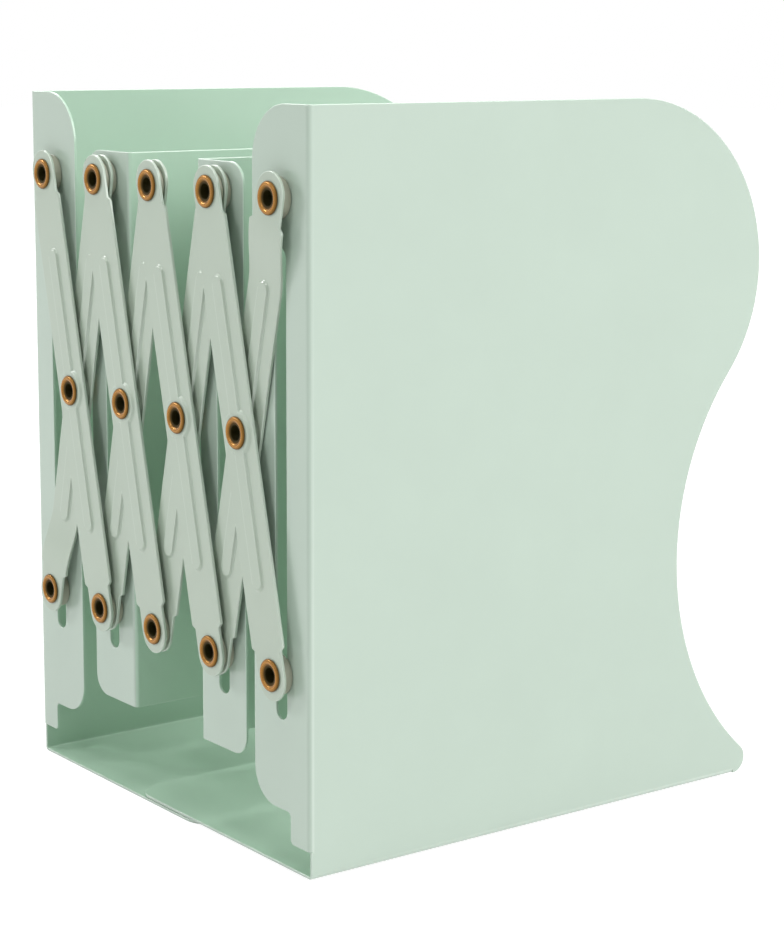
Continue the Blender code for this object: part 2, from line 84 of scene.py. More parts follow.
# Depths of the layers, from the end flanges' front faces
REAR_LINK_FRONT = -1.3 * MM
FRONT_LINK_BACK = -2.6 * MM
FRONT_LINK_FRONT = -3.5 * MM
REAR_LINK_BACK = -0.4 * MM
DIVIDER_PLANE = 1.2 * MM

# How finely curves are cut
LARGE_ARC_STEPS = 40
SMALL_ARC_STEPS = 10
BEND_STEPS = 6
HEAD_STEPS = 28
HOLE_STEPS = 32
SOLVE_STEPS = 60
LARGEST_WAIST_SHARE = 10.0
EMBOSS_STEPS = 5
SPRING_STEPS = 24
EDGE_STEPS = 3
FLOOR_STEPS = 64
WELD_DISTANCE = 0.001 * MM

# How cut edges are rounded and shaded, and where the coat gets its painted edge highlight and its painted
# inner shade
RIM_BAND = 0.35 * MM
RIM_ANGLE = radians(28.0)
CUT_EDGE_ANGLE = radians(60.0)
SHARPEST_LEAN = 0.5
FLAT_WEIGHT = 50
INNER_SIDE_LEAN = 0.5


class BookendSheetSettings(bpy.types.PropertyGroup):
    """The bent sheets: end panels and dividers."""

    thickness: FloatProperty(
        name="Sheet thickness",
        description="Thickness of the panels' and dividers' steel",
        default=0.8 * MM,
        unit="LENGTH",
    )
    bend_radius: FloatProperty(
        name="Bend radius",
        description="Outer radius of the bends between a side plate, its flange and its base",
        default=1.3 * MM,
        unit="LENGTH",
    )
    edge_rounding: FloatProperty(
        name="Edge rounding",
        description="How far the coat rounds the sheets' cut edges",
        default=0.24 * MM,
        unit="LENGTH",
    )
    outer_colour: FloatVectorProperty(
        name="Outer coat colour",
        description="Colour of the powder coat on the sheets' outer side, in linear light",
        default=(0.51, 0.6, 0.525),
        subtype="COLOR",
    )
    # The inner colour is painted shade: a deeper, greener copy of the one coat for the faces that look
    # towards the books.
    inner_shade_colour: FloatVectorProperty(
        name="Inner coat colour",
        description="Colour of the deeper coat on the sheets' inner side, in linear light",
        default=(0.49, 0.66, 0.53),
        subtype="COLOR",
    )


class BookendLinkSettings(bpy.types.PropertyGroup):
    """The pressed links of the row."""

    thickness: FloatProperty(
        name="Link thickness",
        description="Thickness of the links' steel",
        default=0.9 * MM,
        unit="LENGTH",
    )
    half_width: FloatProperty(
        name="Half width",
        description="Half the width of a link's shank",
        default=7.5 * MM,
        unit="LENGTH",
    )
    coat_colour: FloatVectorProperty(
        name="Link coat colour",
        description="Colour of the greyer powder coat on the links, in linear light",
        default=(0.475, 0.542, 0.456),
        subtype="COLOR",
    )
    rib_rise: FloatProperty(
        name="Rib rise",
        description="How far the boss and its ribs stand out of a link's face",
        default=0.6 * MM,
        unit="LENGTH",
    )
    edge_rounding: FloatProperty(
        name="Edge rounding",
        description="How far the coat rounds the links' cut edges",
        default=0.24 * MM,
        unit="LENGTH",
    )


class BookendFittingSettings(bpy.types.PropertyGroup):
    """The eyelets and washers at the pivots."""

    flange_radius: FloatProperty(
        name="Eyelet head radius",
        description="Outer radius of an eyelet's rolled head",
        default=4.45 * MM,
        unit="LENGTH",
    )
    washer_radius: FloatProperty(
        name="Washer radius",
        description="Outer radius of the nylon washers",
        default=5.6 * MM,
        unit="LENGTH",
    )
    turn_steps: IntProperty(
        name="Steps in a turn",
        description="How many straight runs make one turn of an eyelet or a washer",
        default=48,
        min=12,
    )
    copper_colour: FloatVectorProperty(
        name="Copper colour",
        description="Colour of the eyelets' plating in linear light",
        default=(0.43, 0.205, 0.052),
        subtype="COLOR",
    )
    nylon_colour: FloatVectorProperty(
        name="Nylon colour",
        description="Colour of the washers in linear light",
        default=(0.38, 0.375, 0.3),
        subtype="COLOR",
    )


class BookendStageSettings(bpy.types.PropertyGroup):
    """The floor, the studio light and the camera."""

    floor_colour: FloatVectorProperty(
        name="Floor colour",
        description="Colour of the floor as the camera sees it in shadow",
        default=(0.92, 0.92, 0.92),
        subtype="COLOR",
    )
    focal_length: FloatProperty(
        name="Focal length",
        description="Focal length of the camera in millimetres, for a 36 mm frame",
        default=88.9,
        subtype="DISTANCE_CAMERA",
    )


# Places along the row


def pivot_x(index):
    """Where the row's pivots of this number stand along the row, from 1 at the left."""
    return END_PIVOT_INSET + (index - 1) * REST_PITCH


def middle_x(index):
    return pivot_x(index) + REST_PITCH / 2


# Outlines


def arc(centre, radius, start, end, steps):
    """Points on an arc from one angle to another, both ends included."""
    turns = [start + (end - start) * step / steps for step in range(steps + 1)]
    return [(centre[0] + radius * cos(turn), centre[1] + radius * sin(turn)) for turn in turns]


def circle(centre, radius):
    return arc(centre, radius, 0, 2 * pi, HOLE_STEPS)[:-1]


def slot(centre_x, bottom, top, radius):
    """A slot with round ends, as one loop."""
    steps = HOLE_STEPS // 2
    upper = arc((centre_x, top - radius), radius, 0, pi, steps)
    lower = arc((centre_x, bottom + radius), radius, pi, 2 * pi, steps)
    return upper + lower


def waist_radius(upper, lower, rise):
    """The radius of the hollow arc that touches the top corner's circle and the foot's circle."""
    low, high = 0.0, LARGEST_WAIST_SHARE * rise
    for _ in range(SOLVE_STEPS):
        radius = (low + high) / 2
        reach = sum(sqrt(max(0.0, a * (b + 2 * radius))) for a, b in (upper, lower))
        low, high = (radius, high) if reach < rise else (low, radius)
    return radius


def rear_edge(bulge, top_radius, waist, foot, foot_radius, bottom, top):
    """The S-shaped rear edge as (depth, height) points, from the top edge down to the bottom edge."""
    crown = (bulge - top_radius, top - top_radius)
    heel = (foot - foot_radius, bottom + foot_radius)
    above, below = waist - crown[0], waist - heel[0]
    upper = (top_radius - above, top_radius + above)
    lower = (foot_radius - below, foot_radius + below)
    radius = waist_radius(upper, lower, crown[1] - heel[1])
    hollow = (waist + radius, heel[1] + sqrt(max(0.0, lower[0] * (lower[1] + 2 * radius))))
    to_crown = atan2(crown[1] - hollow[1], crown[0] - hollow[0])
    to_heel = atan2(heel[1] - hollow[1], heel[0] - hollow[0]) + 2 * pi
    points = arc(crown, top_radius, pi / 2, to_crown - pi, LARGE_ARC_STEPS)
    points += arc(hollow, radius, to_crown, to_heel, LARGE_ARC_STEPS)[1:]
    points += arc(heel, foot_radius, to_heel - pi, -pi / 2, SMALL_ARC_STEPS)[1:]
    return points


def signed_area(loop):
    """Twice the area inside a loop, positive where it runs anticlockwise."""
    following = loop[1:] + loop[:1]
    return sum(a[0] * b[1] - b[0] * a[1] for a, b in zip(loop, following))


def drawn_in(loop, distance, hole):
    """A loop moved into the sheet by a distance, with its corners kept on their bisectors."""
    side = -1.0 if (signed_area(loop) > 0) == hole else 1.0
    moved = []
    for index, point in enumerate(loop):
        before, after = loop[index - 1], loop[(index + 1) % len(loop)]
        one = Vector((point[0] - before[0], point[1] - before[1])).normalized()
        two = Vector((after[0] - point[0], after[1] - point[1])).normalized()
        normal = Vector((-one.y - two.y, one.x + two.x))
        normal.normalize()
        lean = max(SHARPEST_LEAN, normal.dot(Vector((-one.y, one.x))))
        step = side * distance / lean
        moved.append((point[0] + normal.x * step, point[1] + normal.y * step))
    return moved


# Sheets as meshes


def fill_region(bm, outer, holes, place):
    """Fills a flat region: an even band of quads along every edge, and triangles inside the bands."""
    inner_loops, rings = [], []
    for loop, hole in [(outer, False)] + [(loop, True) for loop in holes]:
        inner = drawn_in(loop, RIM_BAND, hole)
        edge = [bm.verts.new(place(a, b)) for a, b in loop]
        band = [bm.verts.new(place(a, b)) for a, b in inner]
        for index in range(len(loop)):
            after = (index + 1) % len(loop)
            bm.faces.new((edge[index], edge[after], band[after], band[index]))
        inner_loops.append(inner)
        rings.append((edge, band))
    flat = [[Vector((a, b, 0.0)) for a, b in loop] for loop in inner_loops]
    verts = [vert for _, band in rings for vert in band]
    for triangle in tessellate_polygon(flat):
        bm.faces.new([verts[index] for index in triangle])
    return rings


def bend(bm, ends, place):
    """Rolls a quarter-round strip between two flat regions; place(turn, end) gives its points."""
    turns = [pi / 2 * step / BEND_STEPS for step in range(BEND_STEPS + 1)]
    rows = [[bm.verts.new(place(turn, end)) for end in ends] for turn in turns]
    for near, far in zip(rows, rows[1:]):
        bm.faces.new((near[0], near[1], far[1], far[0]))


def face_skin_outwards(bm, mirrored):
    """Joins the regions of a skin, turns its faces outwards and mirrors it where asked."""
    bmesh.ops.remove_doubles(bm, verts=bm.verts, dist=WELD_DISTANCE)
    bmesh.ops.recalc_face_normals(bm, faces=bm.faces)
    side_face = max(bm.faces, key=lambda face: abs(face.normal.x) * face.calc_area())
    if side_face.normal.x > 0:
        bmesh.ops.reverse_faces(bm, faces=bm.faces)
    if mirrored:
        bmesh.ops.scale(bm, vec=(-1, 1, 1), verts=bm.verts)
        bmesh.ops.reverse_faces(bm, faces=bm.faces)


def evaluated_mesh(obj, name):
    """A plain mesh of an object with its modifiers applied; the object itself is removed."""
    depsgraph = bpy.context.evaluated_depsgraph_get()
    mesh = bpy.data.meshes.new_from_object(obj.evaluated_get(depsgraph), depsgraph=depsgraph)
    mesh.name = name
    bpy.data.objects.remove(obj)
    return mesh


def rounded(mesh, name, thickness, rounding):
    """Thickens a skin where a thickness is given, rounds its cut edges and gives a plain mesh."""
    large = 1.0 / MM
    mesh.transform(Matrix.Scale(large, 4))
    mesh.shade_smooth()
    draft = bpy.data.objects.new(name + "_draft", mesh)
    bpy.context.scene.collection.objects.link(draft)
    if thickness:
        solidify = draft.modifiers.new("Sheet thickness", "SOLIDIFY")
        solidify.thickness = thickness * large
        solidify.offset = -1.0
        solidify.use_even_offset = True
    bevel = draft.modifiers.new("Rounded edges", "BEVEL")
    bevel.width = rounding * large
    bevel.segments = EDGE_STEPS
    bevel.limit_method = "ANGLE"
    bevel.angle_limit = CUT_EDGE_ANGLE
    bevel.miter_outer = "MITER_SHARP"
    draft.modifiers.new("Flat shading on flats", "WEIGHTED_NORMAL").weight = FLAT_WEIGHT
    made = evaluated_mesh(draft, name)
    made.transform(Matrix.Scale(MM, 4))
    return made


def mark_highlight_edges(mesh):
    """Stores how near each point is to a rounded edge, where the coat gets a pale painted highlight."""
    bm = bmesh.new()
    bm.from_mesh(mesh)
    values = [0.0] * len(bm.verts)
    for edge in bm.edges:
        if edge.is_manifold and edge.calc_face_angle() > RIM_ANGLE:
            for vert in edge.verts:
                values[vert.index] = 1.0
    bm.free()
    attribute = mesh.attributes.new("rim", "FLOAT", "POINT")
    attribute.data.foreach_set("value", values)


def mark_shaded_side(mesh, directions):
    """Stores which points look towards the books, where the coat takes a deeper colour as painted shade.
    """
    sides = [Vector(direction) for direction in directions]
    normals = [vert.normal for vert in mesh.vertices]
    leans = [max(normal.dot(side) for side in sides) for normal in normals]
    values = [1.0 if lean > INNER_SIDE_LEAN else 0.0 for lean in leans]
    attribute = mesh.attributes.new("inner", "FLOAT", "POINT")
    attribute.data.foreach_set("value", values)


def add_piece(name, mesh, material, body, nodes):
    """Puts a finished mesh in the scene as one piece that rides on a body and replaces CAD nodes."""
    mesh.shade_smooth()
    piece = bpy.data.objects.new(name, mesh)
    bpy.context.scene.collection.objects.link(piece)
    mesh.materials.clear()
    mesh.materials.append(material)
    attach(piece, body)
    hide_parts(*nodes)
    return piece


def to_frame(mesh, place, turn=0.0):
    """Moves a mesh from the row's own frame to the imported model's, turned about the depth axis first."""
    mesh.transform(Matrix.Translation(ORIGIN + Vector(place)) @ Matrix.Rotation(turn, 4, "Y"))


# End panels and dividers


LEFTWARDS, RIGHTWARDS, UPWARDS = (-1, 0, 0), (1, 0, 0), (0, 0, 1)
END_FLANGE_WIDTH = 26.0 * MM
END_FLANGE_TOP_RADIUS = 15.0 * MM
LOBE_HEIGHT = 17.4 * MM
LOBE_RADIUS = 9.5 * MM
STRIP_WIDTH = 9.0 * MM
STRIP_HEIGHT = 8.8 * MM
STRIP_CORNER_RADIUS = 1.4 * MM
END_BULGE_REACH = 161.4 * MM
END_TOP_RADIUS = 49.0 * MM
END_WAIST_REACH = 131.0 * MM
END_FOOT_REACH = 161.0 * MM
END_FOOT_RADIUS = 4.5 * MM
BASE_LENGTH = 92.0 * MM
BASE_CORNER_RADIUS = 9.0 * MM
BASE_LIFT = 1.0 * MM

DIVIDER_TOP = HEIGHT - 16.0 * MM
DIVIDER_BOTTOM_HEIGHT = 26.5 * MM
DIVIDER_PIVOT_INSET = 12.0 * MM
DIVIDER_FREE_LAND = 11.0 * MM
DIVIDER_FLANGE_RADIUS = 6.0 * MM
DIVIDER_BULGE_REACH = 140.0 * MM
DIVIDER_TOP_RADIUS = 40.0 * MM
DIVIDER_WAIST_REACH = 118.0 * MM
DIVIDER_FOOT_REACH = 134.0 * MM
DIVIDER_FOOT_RADIUS = 8.0 * MM


def end_flange_loop(radius):
    """The end flange's outline as (across, height), round from the bend's top to its bottom."""
    right = END_FLANGE_WIDTH
    top_centre = (right - END_FLANGE_TOP_RADIUS, HEIGHT - END_FLANGE_TOP_RADIUS)
    lobe_centre = (right - LOBE_RADIUS, LOBE_HEIGHT + LOBE_RADIUS)
    notch = STRIP_CORNER_RADIUS
    notch_centre = (STRIP_WIDTH + notch, LOBE_HEIGHT - notch)
    toe_centre = (STRIP_WIDTH - notch, STRIP_HEIGHT + notch)
    points = [(radius, STRIP_HEIGHT)]
    points += arc(toe_centre, notch, -pi / 2, 0, SMALL_ARC_STEPS)
    points += arc(notch_centre, notch, pi, pi / 2, SMALL_ARC_STEPS)
    points += arc(lobe_centre, LOBE_RADIUS, -pi / 2, 0, SMALL_ARC_STEPS)
    points += arc(top_centre, END_FLANGE_TOP_RADIUS, 0, pi / 2, SMALL_ARC_STEPS)
    points += [(radius, HEIGHT)]
    return points


def end_panel_skin(floor, mirrored, radius):
    """One end panel's outer skin: side plate, front flange and the base that it stands on."""
    bm = bmesh.new()

    def rolled(turn):
        return radius * (1 - cos(turn)), radius * (1 - sin(turn))

    bend_line = floor + radius
    base_front = radius / 2
    base_back = END_FOOT_REACH - END_FOOT_RADIUS
    plate = [(base_back, bend_line), (base_front, bend_line), (base_front, STRIP_HEIGHT)]
    plate += [(radius, STRIP_HEIGHT), (radius, HEIGHT)]
    plate += rear_edge(
        END_BULGE_REACH,
        END_TOP_RADIUS,
        END_WAIST_REACH,
        END_FOOT_REACH,
        END_FOOT_RADIUS,
        floor,
        HEIGHT,
    )
    fill_region(bm, plate, [], lambda y, z: (0.0, y, z))

    pivot = (END_PIVOT_INSET, TOP_PIVOT_HEIGHT)
    holes = [circle(pivot, BORE_RADIUS), slot(END_PIVOT_INSET, SLOT_BOTTOM, SLOT_TOP, BORE_RADIUS)]
    fill_region(bm, end_flange_loop(radius), holes, lambda x, z: (x, 0.0, z))
    bend(bm, (STRIP_HEIGHT, HEIGHT), lambda turn, z: (*rolled(turn), z))

    corner = BASE_CORNER_RADIUS
    tip = BASE_LENGTH - corner
    base = [(radius, base_back), (radius, base_front)]
    base += arc((tip, base_front + corner), corner, -pi / 2, 0, SMALL_ARC_STEPS)
    base += arc((tip, base_back - corner), corner, 0, pi / 2, SMALL_ARC_STEPS)
    fill_region(bm, base, [], lambda x, y: (x, y, floor))
    bend(bm, (base_front, base_back), lambda turn, y: (rolled(turn)[0], y, floor + rolled(turn)[1]))
    face_skin_outwards(bm, mirrored)
    return bm


def divider_skin(mirrored, radius):
    """One divider's outer skin: a side plate and a narrow front flange."""
    bm = bmesh.new()
    plate = [(radius, DIVIDER_BOTTOM_HEIGHT), (radius, DIVIDER_TOP)]
    plate += rear_edge(
        DIVIDER_BULGE_REACH,
        DIVIDER_TOP_RADIUS,
        DIVIDER_WAIST_REACH,
        DIVIDER_FOOT_REACH,
        DIVIDER_FOOT_RADIUS,
        DIVIDER_BOTTOM_HEIGHT,
        DIVIDER_TOP,
    )
    fill_region(bm, plate, [], lambda y, z: (0.0, y, z))

    corner = DIVIDER_FLANGE_RADIUS
    free = DIVIDER_PIVOT_INSET + DIVIDER_FREE_LAND - corner
    flange = [(radius, DIVIDER_BOTTOM_HEIGHT)]
    flange += arc((free, DIVIDER_BOTTOM_HEIGHT + corner), corner, -pi / 2, 0, SMALL_ARC_STEPS)
    flange += arc((free, DIVIDER_TOP - corner), corner, 0, pi / 2, SMALL_ARC_STEPS)
    flange += [(radius, DIVIDER_TOP)]
    pivot = (DIVIDER_PIVOT_INSET, TOP_PIVOT_HEIGHT)
    holes = [circle(pivot, BORE_RADIUS)]
    holes += [slot(DIVIDER_PIVOT_INSET, SLOT_BOTTOM, SLOT_TOP, BORE_RADIUS)]
    fill_region(bm, flange, holes, lambda x, z: (x, 0.0, z))

    def rolled(turn, z):
        return radius * (1 - cos(turn)), radius * (1 - sin(turn)), z

    bend(bm, (DIVIDER_BOTTOM_HEIGHT, DIVIDER_TOP), rolled)
    face_skin_outwards(bm, mirrored)
    return bm


def add_sheet(context, name, bm, place, body, node, shaded_sides):
    """Thickens and finishes one bent sheet and puts it on its body."""
    settings = context.scene.bookend_sheets
    skin = bpy.data.meshes.new(name + "_skin")
    bm.to_mesh(skin)
    bm.free()
    mesh = rounded(skin, name, settings.thickness, settings.edge_rounding)
    mark_highlight_edges(mesh)
    mark_shaded_side(mesh, shaded_sides)
    to_frame(mesh, place)
    coat = powder_coat("Sheet powder coat", settings.outer_colour, settings.inner_shade_colour)
    return add_piece(name, mesh, coat, body, [node])


class BOOKEND_OT_end_panels(bpy.types.Operator):
    """Make the two end panels, each one bent sheet with a flange and a base"""

    bl_idname = "bookend.end_panels"
    bl_label = "End panels"

    def execute(self, context):
        radius = context.scene.bookend_sheets.bend_radius
        left = end_panel_skin(0.0, False, radius)
        # Faces that look these ways get the coat's deeper colour as painted shade.
        inner = (RIGHTWARDS, UPWARDS)
        add_sheet(context, "left_end_sheet", left, (0, 0, 0), "left_end", "left_end_panel", inner)
        right = end_panel_skin(BASE_LIFT, True, radius)
        place = (WIDTH, 0, 0)
        inner = (LEFTWARDS, UPWARDS)
        add_sheet(context, "right_end_sheet", right, place, "right_end", "right_end_panel", inner)
        return {"FINISHED"}


class BOOKEND_OT_dividers(bpy.types.Operator):
    """Make the two dividers, each one bent sheet with a narrow flange"""

    bl_idname = "bookend.dividers"
    bl_label = "Dividers"

    def execute(self, context):
        radius = context.scene.bookend_sheets.bend_radius
        place = (pivot_x(2) + DIVIDER_PIVOT_INSET, DIVIDER_PLANE, 0)
        left = divider_skin(True, radius)
        # Faces that look these ways get the coat's deeper colour as painted shade.
        inner = (LEFTWARDS, RIGHTWARDS)
        add_sheet(context, "left_divider_sheet", left, place, "left_divider", "left_divider", inner)
        place = (pivot_x(CELL_COUNT) - DIVIDER_PIVOT_INSET, DIVIDER_PLANE, 0)
        right = divider_skin(False, radius)
        add_sheet(context, "right_divider_sheet", right, place, "right_divider", "right_divider", inner)
        return {"FINISHED"}


# Links


HEAD_RADIUS = 6.1 * MM
HEAD_MARGIN = 0.9 * MM
SHOULDER_LENGTH = 1.0 * MM
BOSS_RADIUS = 6.6 * MM
RIB_HALF_WIDTH = 2.5 * MM
RIB_END_DISTANCE = 22.0 * MM
BOSS_SLOPE = 1.0 * MM
RIB_SLOPE = 0.42 * MM
RIB_TIP_SLOPE = 1.0 * MM


def both_ends(points):
    """A half outline and the same turned half a turn, as one loop."""
    return points + [(-x, -z) for x, z in points]


def link_outline(half_width):
    """A link's outline as (across, along), with a narrower round head reaching past each end pivot."""
    reach = PIVOT_SPACING / 2
    shoulder = reach - SHOULDER_REACH
    points = [(half_width, shoulder), (HEAD_RADIUS, shoulder + SHOULDER_LENGTH)]
    points += arc((0.0, reach + HEAD_MARGIN), HEAD_RADIUS, 0, pi, HEAD_STEPS)
    points += [(-HEAD_RADIUS, shoulder + SHOULDER_LENGTH), (-half_width, shoulder)]
    return both_ends(points)


def emboss_loop(share):
    """The raised boss and its two ribs as one loop, a share of the way up their slopes."""
    boss = BOSS_RADIUS - BOSS_SLOPE * share
    half = RIB_HALF_WIDTH - RIB_SLOPE * share
    tip = PIVOT_SPACING / 2 - RIB_END_DISTANCE - RIB_HALF_WIDTH - (RIB_TIP_SLOPE - RIB_SLOPE) * share
    root = atan2(sqrt(boss**2 - half**2), half)
    points = arc((0.0, 0.0), boss, -root, root, HEAD_STEPS)
    points += arc((0.0, tip), half, 0, pi, HEAD_STEPS // 2)
    return both_ends(points)


def link_skin(settings, top_spring, bottom_spring):
    """A pressed link's front face at depth zero; its heads stand back by the two springs."""
    reach = PIVOT_SPACING / 2
    shoulder = reach - SHOULDER_REACH
    spring = shoulder - SPRING_LENGTH
    end_bores = [circle((0.0, reach), BORE_RADIUS), circle((0.0, -reach), BORE_RADIUS)]
    bm = bmesh.new()
    foot = emboss_loop(0.0)
    outline = link_outline(settings.half_width)
    rings = fill_region(bm, outline, [*end_bores, foot], lambda x, z: (x, 0.0, z))
    lower = rings[-1][0]
    for step in range(1, EMBOSS_STEPS + 1):
        share = step / EMBOSS_STEPS
        rise = settings.rib_rise * (1 - cos(pi * share)) / 2
        loop = emboss_loop(share)
        upper = [bm.verts.new((x, -rise, z)) for x, z in loop]
        for index in range(len(loop)):
            after = (index + 1) % len(loop)
            bm.faces.new((lower[index], lower[after], upper[after], upper[index]))
        lower = upper
    crest = emboss_loop(1.0)
    rise = settings.rib_rise
    fill_region(bm, crest, [circle((0.0, 0.0), BORE_RADIUS)], lambda x, z: (x, -rise, z))
    bmesh.ops.remove_doubles(bm, verts=bm.verts, dist=WELD_DISTANCE)
    bmesh.ops.recalc_face_normals(bm, faces=bm.faces)
    if sum(face.normal.y * face.calc_area() for face in bm.faces) > 0:
        bmesh.ops.reverse_faces(bm, faces=bm.faces)
    for side, rise in ((1, top_spring), (-1, bottom_spring)):
        if rise:
            spring_end(bm, side, spring, rise)
    return bm


def spring_end(bm, side, start, rise):
    """Bends one end of a link out of its plane in a soft S, from a height along the link on."""
    for step in range(SPRING_STEPS + 1):
        geometry = list(bm.verts) + list(bm.edges) + list(bm.faces)
        cut = (0, 0, side * (start + SPRING_LENGTH * step / SPRING_STEPS))
        bmesh.ops.bisect_plane(bm, geom=geometry, dist=WELD_DISTANCE, plane_co=cut, plane_no=(0, 0, 1))
    for vert in bm.verts:
        share = min(1.0, max(0.0, (side * vert.co.z - start) / SPRING_LENGTH))
        vert.co.y += rise * (1 - cos(pi * share)) / 2


def thicken_back(bm, thickness):
    """Closes a link's front face with a copy of it set straight back by the sheet's thickness."""
    front = list(bm.faces)
    rim = [edge for edge in bm.edges if edge.is_boundary]
    made = bmesh.ops.duplicate(bm, geom=list(bm.verts) + list(bm.edges) + front)
    back = made["vert_map"]
    copies = [item for item in made["geom"] if isinstance(item, bmesh.types.BMFace)]
    bmesh.ops.reverse_faces(bm, faces=copies)
    for edge in rim:
        one, two = edge.link_loops[0].vert, edge.link_loops[0].link_loop_next.vert
        bm.faces.new((two, one, back[one], back[two]))
    for vert in {back[vert] for face in front for vert in face.verts}:
        vert.co.y += thickness


class BOOKEND_OT_links(bpy.types.Operator):
    """Make the eight pressed links of the row"""

    bl_idname = "bookend.links"
    bl_label = "Links"

    def execute(self, context):
        settings = context.scene.bookend_links
        spring = FRONT_LINK_BACK - REAR_LINK_BACK
        springs = {("rear", 1): (0.0, spring), ("rear", CELL_COUNT): (spring, 0.0)}
        layers = (("front", FRONT_LINK_FRONT, -REST_ANGLE), ("rear", REAR_LINK_FRONT, REST_ANGLE))
        material = powder_coat("Link powder coat", settings.coat_colour, settings.coat_colour)
        for layer, depth, turn in layers:
            for index in range(1, CELL_COUNT + 1):
                name = f"{layer}_pressing_{index}"
                bm = link_skin(settings, *springs.get((layer, index), (0.0, 0.0)))
                thicken_back(bm, settings.thickness)
                skin = bpy.data.meshes.new(name + "_skin")
                bm.to_mesh(skin)
                bm.free()
                mesh = rounded(skin, name, 0.0, settings.edge_rounding)
                mark_highlight_edges(mesh)
                to_frame(mesh, (middle_x(index), depth, MIDDLE_HEIGHT), turn)
                node = f"{layer}_link_{index}"
                add_piece(name, mesh, material, node, [node])
        return {"FINISHED"}


# Eyelets and washers


EYELET_BARREL_RADIUS = 2.4 * MM
EYELET_WALL = 0.3 * MM
EYELET_ROLL = 0.8 * MM
EYELET_PROUD = 0.6 * MM
EYELET_LIP_SHARE = 0.3
EYELET_EDGE_SHADE_SHARE = 0.7
EYELET_FUNNEL_SHADE_SHARE = 0.8
TURN_PATH_RADIUS = 1.0 * MM
CLINCH_RADIUS = 4.1 * MM
CLINCH_THICKNESS = 0.5 * MM
LINK_WASHER_THICKNESS = 0.9 * MM
FLANGE_WASHER_THICKNESS = 1.2 * MM
END_WASHER_THICKNESS = -FRONT_LINK_BACK - 2 * RUNNING_GAP
WASHER_ROUNDING = 0.15 * MM


def profile_object(name, points):
    """A closed section as a mesh of edges; points are (radius, depth, share of the grip, painted shade).
    """
    mesh = bpy.data.meshes.new(name)
    verts = [(radius - TURN_PATH_RADIUS, depth, 0.0) for radius, depth, _, _ in points]
    edges = [(index, (index + 1) % len(points)) for index in range(len(points))]
    mesh.from_pydata(verts, edges, [])
    behind = mesh.attributes.new("behind", "FLOAT", "POINT")
    behind.data.foreach_set("value", [point[2] for point in points])
    # Each point's painted shade is stored as the bore attribute.
    bore = mesh.attributes.new("bore", "FLOAT", "POINT")
    bore.data.foreach_set("value", [point[3] for point in points])
    obj = bpy.data.objects.new(name, mesh)
    bpy.context.scene.collection.objects.link(obj)
    return obj


def eyelet_section(settings):
    """A rolled head that flares out of a barrel, and a smaller rolled rim behind the grip, each point with
    its painted shade.
    """
    bore = EYELET_BARREL_RADIUS - EYELET_WALL
    head = settings.flange_radius
    crest = head - EYELET_ROLL
    lip_depth = -EYELET_PROUD * EYELET_LIP_SHARE
    lip = crest - EYELET_ROLL * sqrt(1 - EYELET_LIP_SHARE**2)
    rim_half = (CLINCH_RADIUS - bore) / 2
    rim_crest = (CLINCH_RADIUS + bore) / 2
    steps = SMALL_ARC_STEPS
    points = []
    lip_turn = pi - asin(EYELET_LIP_SHARE)
    for step in range(steps + 1):
        turn = lip_turn * step / steps
        # Painted shade: darker towards the head's outer edge and down its inner slope.
        edge = EYELET_EDGE_SHADE_SHARE * max(0.0, cos(turn))
        shade = edge if turn < pi / 2 else -cos(turn) / 2
        radius, depth = crest + EYELET_ROLL * cos(turn), -EYELET_PROUD * sin(turn)
        points.append((radius, depth, 0.0, shade))
    for step in range(1, steps + 1):
        turn = pi / 2 * step / steps
        radius = bore + (lip - bore) * (1 - sin(turn))
        # Painted shade deepens down the funnel into the bore.
        shade = EYELET_FUNNEL_SHADE_SHARE + (1 - EYELET_FUNNEL_SHADE_SHARE) * sin(turn)
        points.append((radius, lip_depth * cos(turn), 0.0, shade))
    points.append((bore, -RUNNING_GAP, 1.0, 1.0))
    for step in range(steps + 1):
        turn = pi * step / steps
        # Painted shade on the inner half of the rim behind.
        shade = max(0.0, cos(turn))
        radius, depth = rim_crest - rim_half * cos(turn), CLINCH_THICKNESS * sin(turn)
        points.append((radius, depth, 1.0, shade))
    points.append((EYELET_BARREL_RADIUS, 0.0, 1.0, 0.0))
    points.append((EYELET_BARREL_RADIUS, 0.0, 0.0, 0.0))
    return points


def washer_section(settings, thickness):
    """A flat ring with rounded edges, its front face at depth zero."""
    inner, outer, corner = BORE_RADIUS, settings.washer_radius, WASHER_ROUNDING
    points = arc((outer - corner, corner), corner, -pi / 2, 0, EDGE_STEPS)
    points += arc((outer - corner, thickness - corner), corner, 0, pi / 2, EDGE_STEPS)
    points += arc((inner + corner, thickness - corner), corner, pi / 2, pi, EDGE_STEPS)
    points += arc((inner + corner, corner), corner, pi, 3 * pi / 2, EDGE_STEPS)
    return [(radius, depth, 0.0, 0.0) for radius, depth in points]


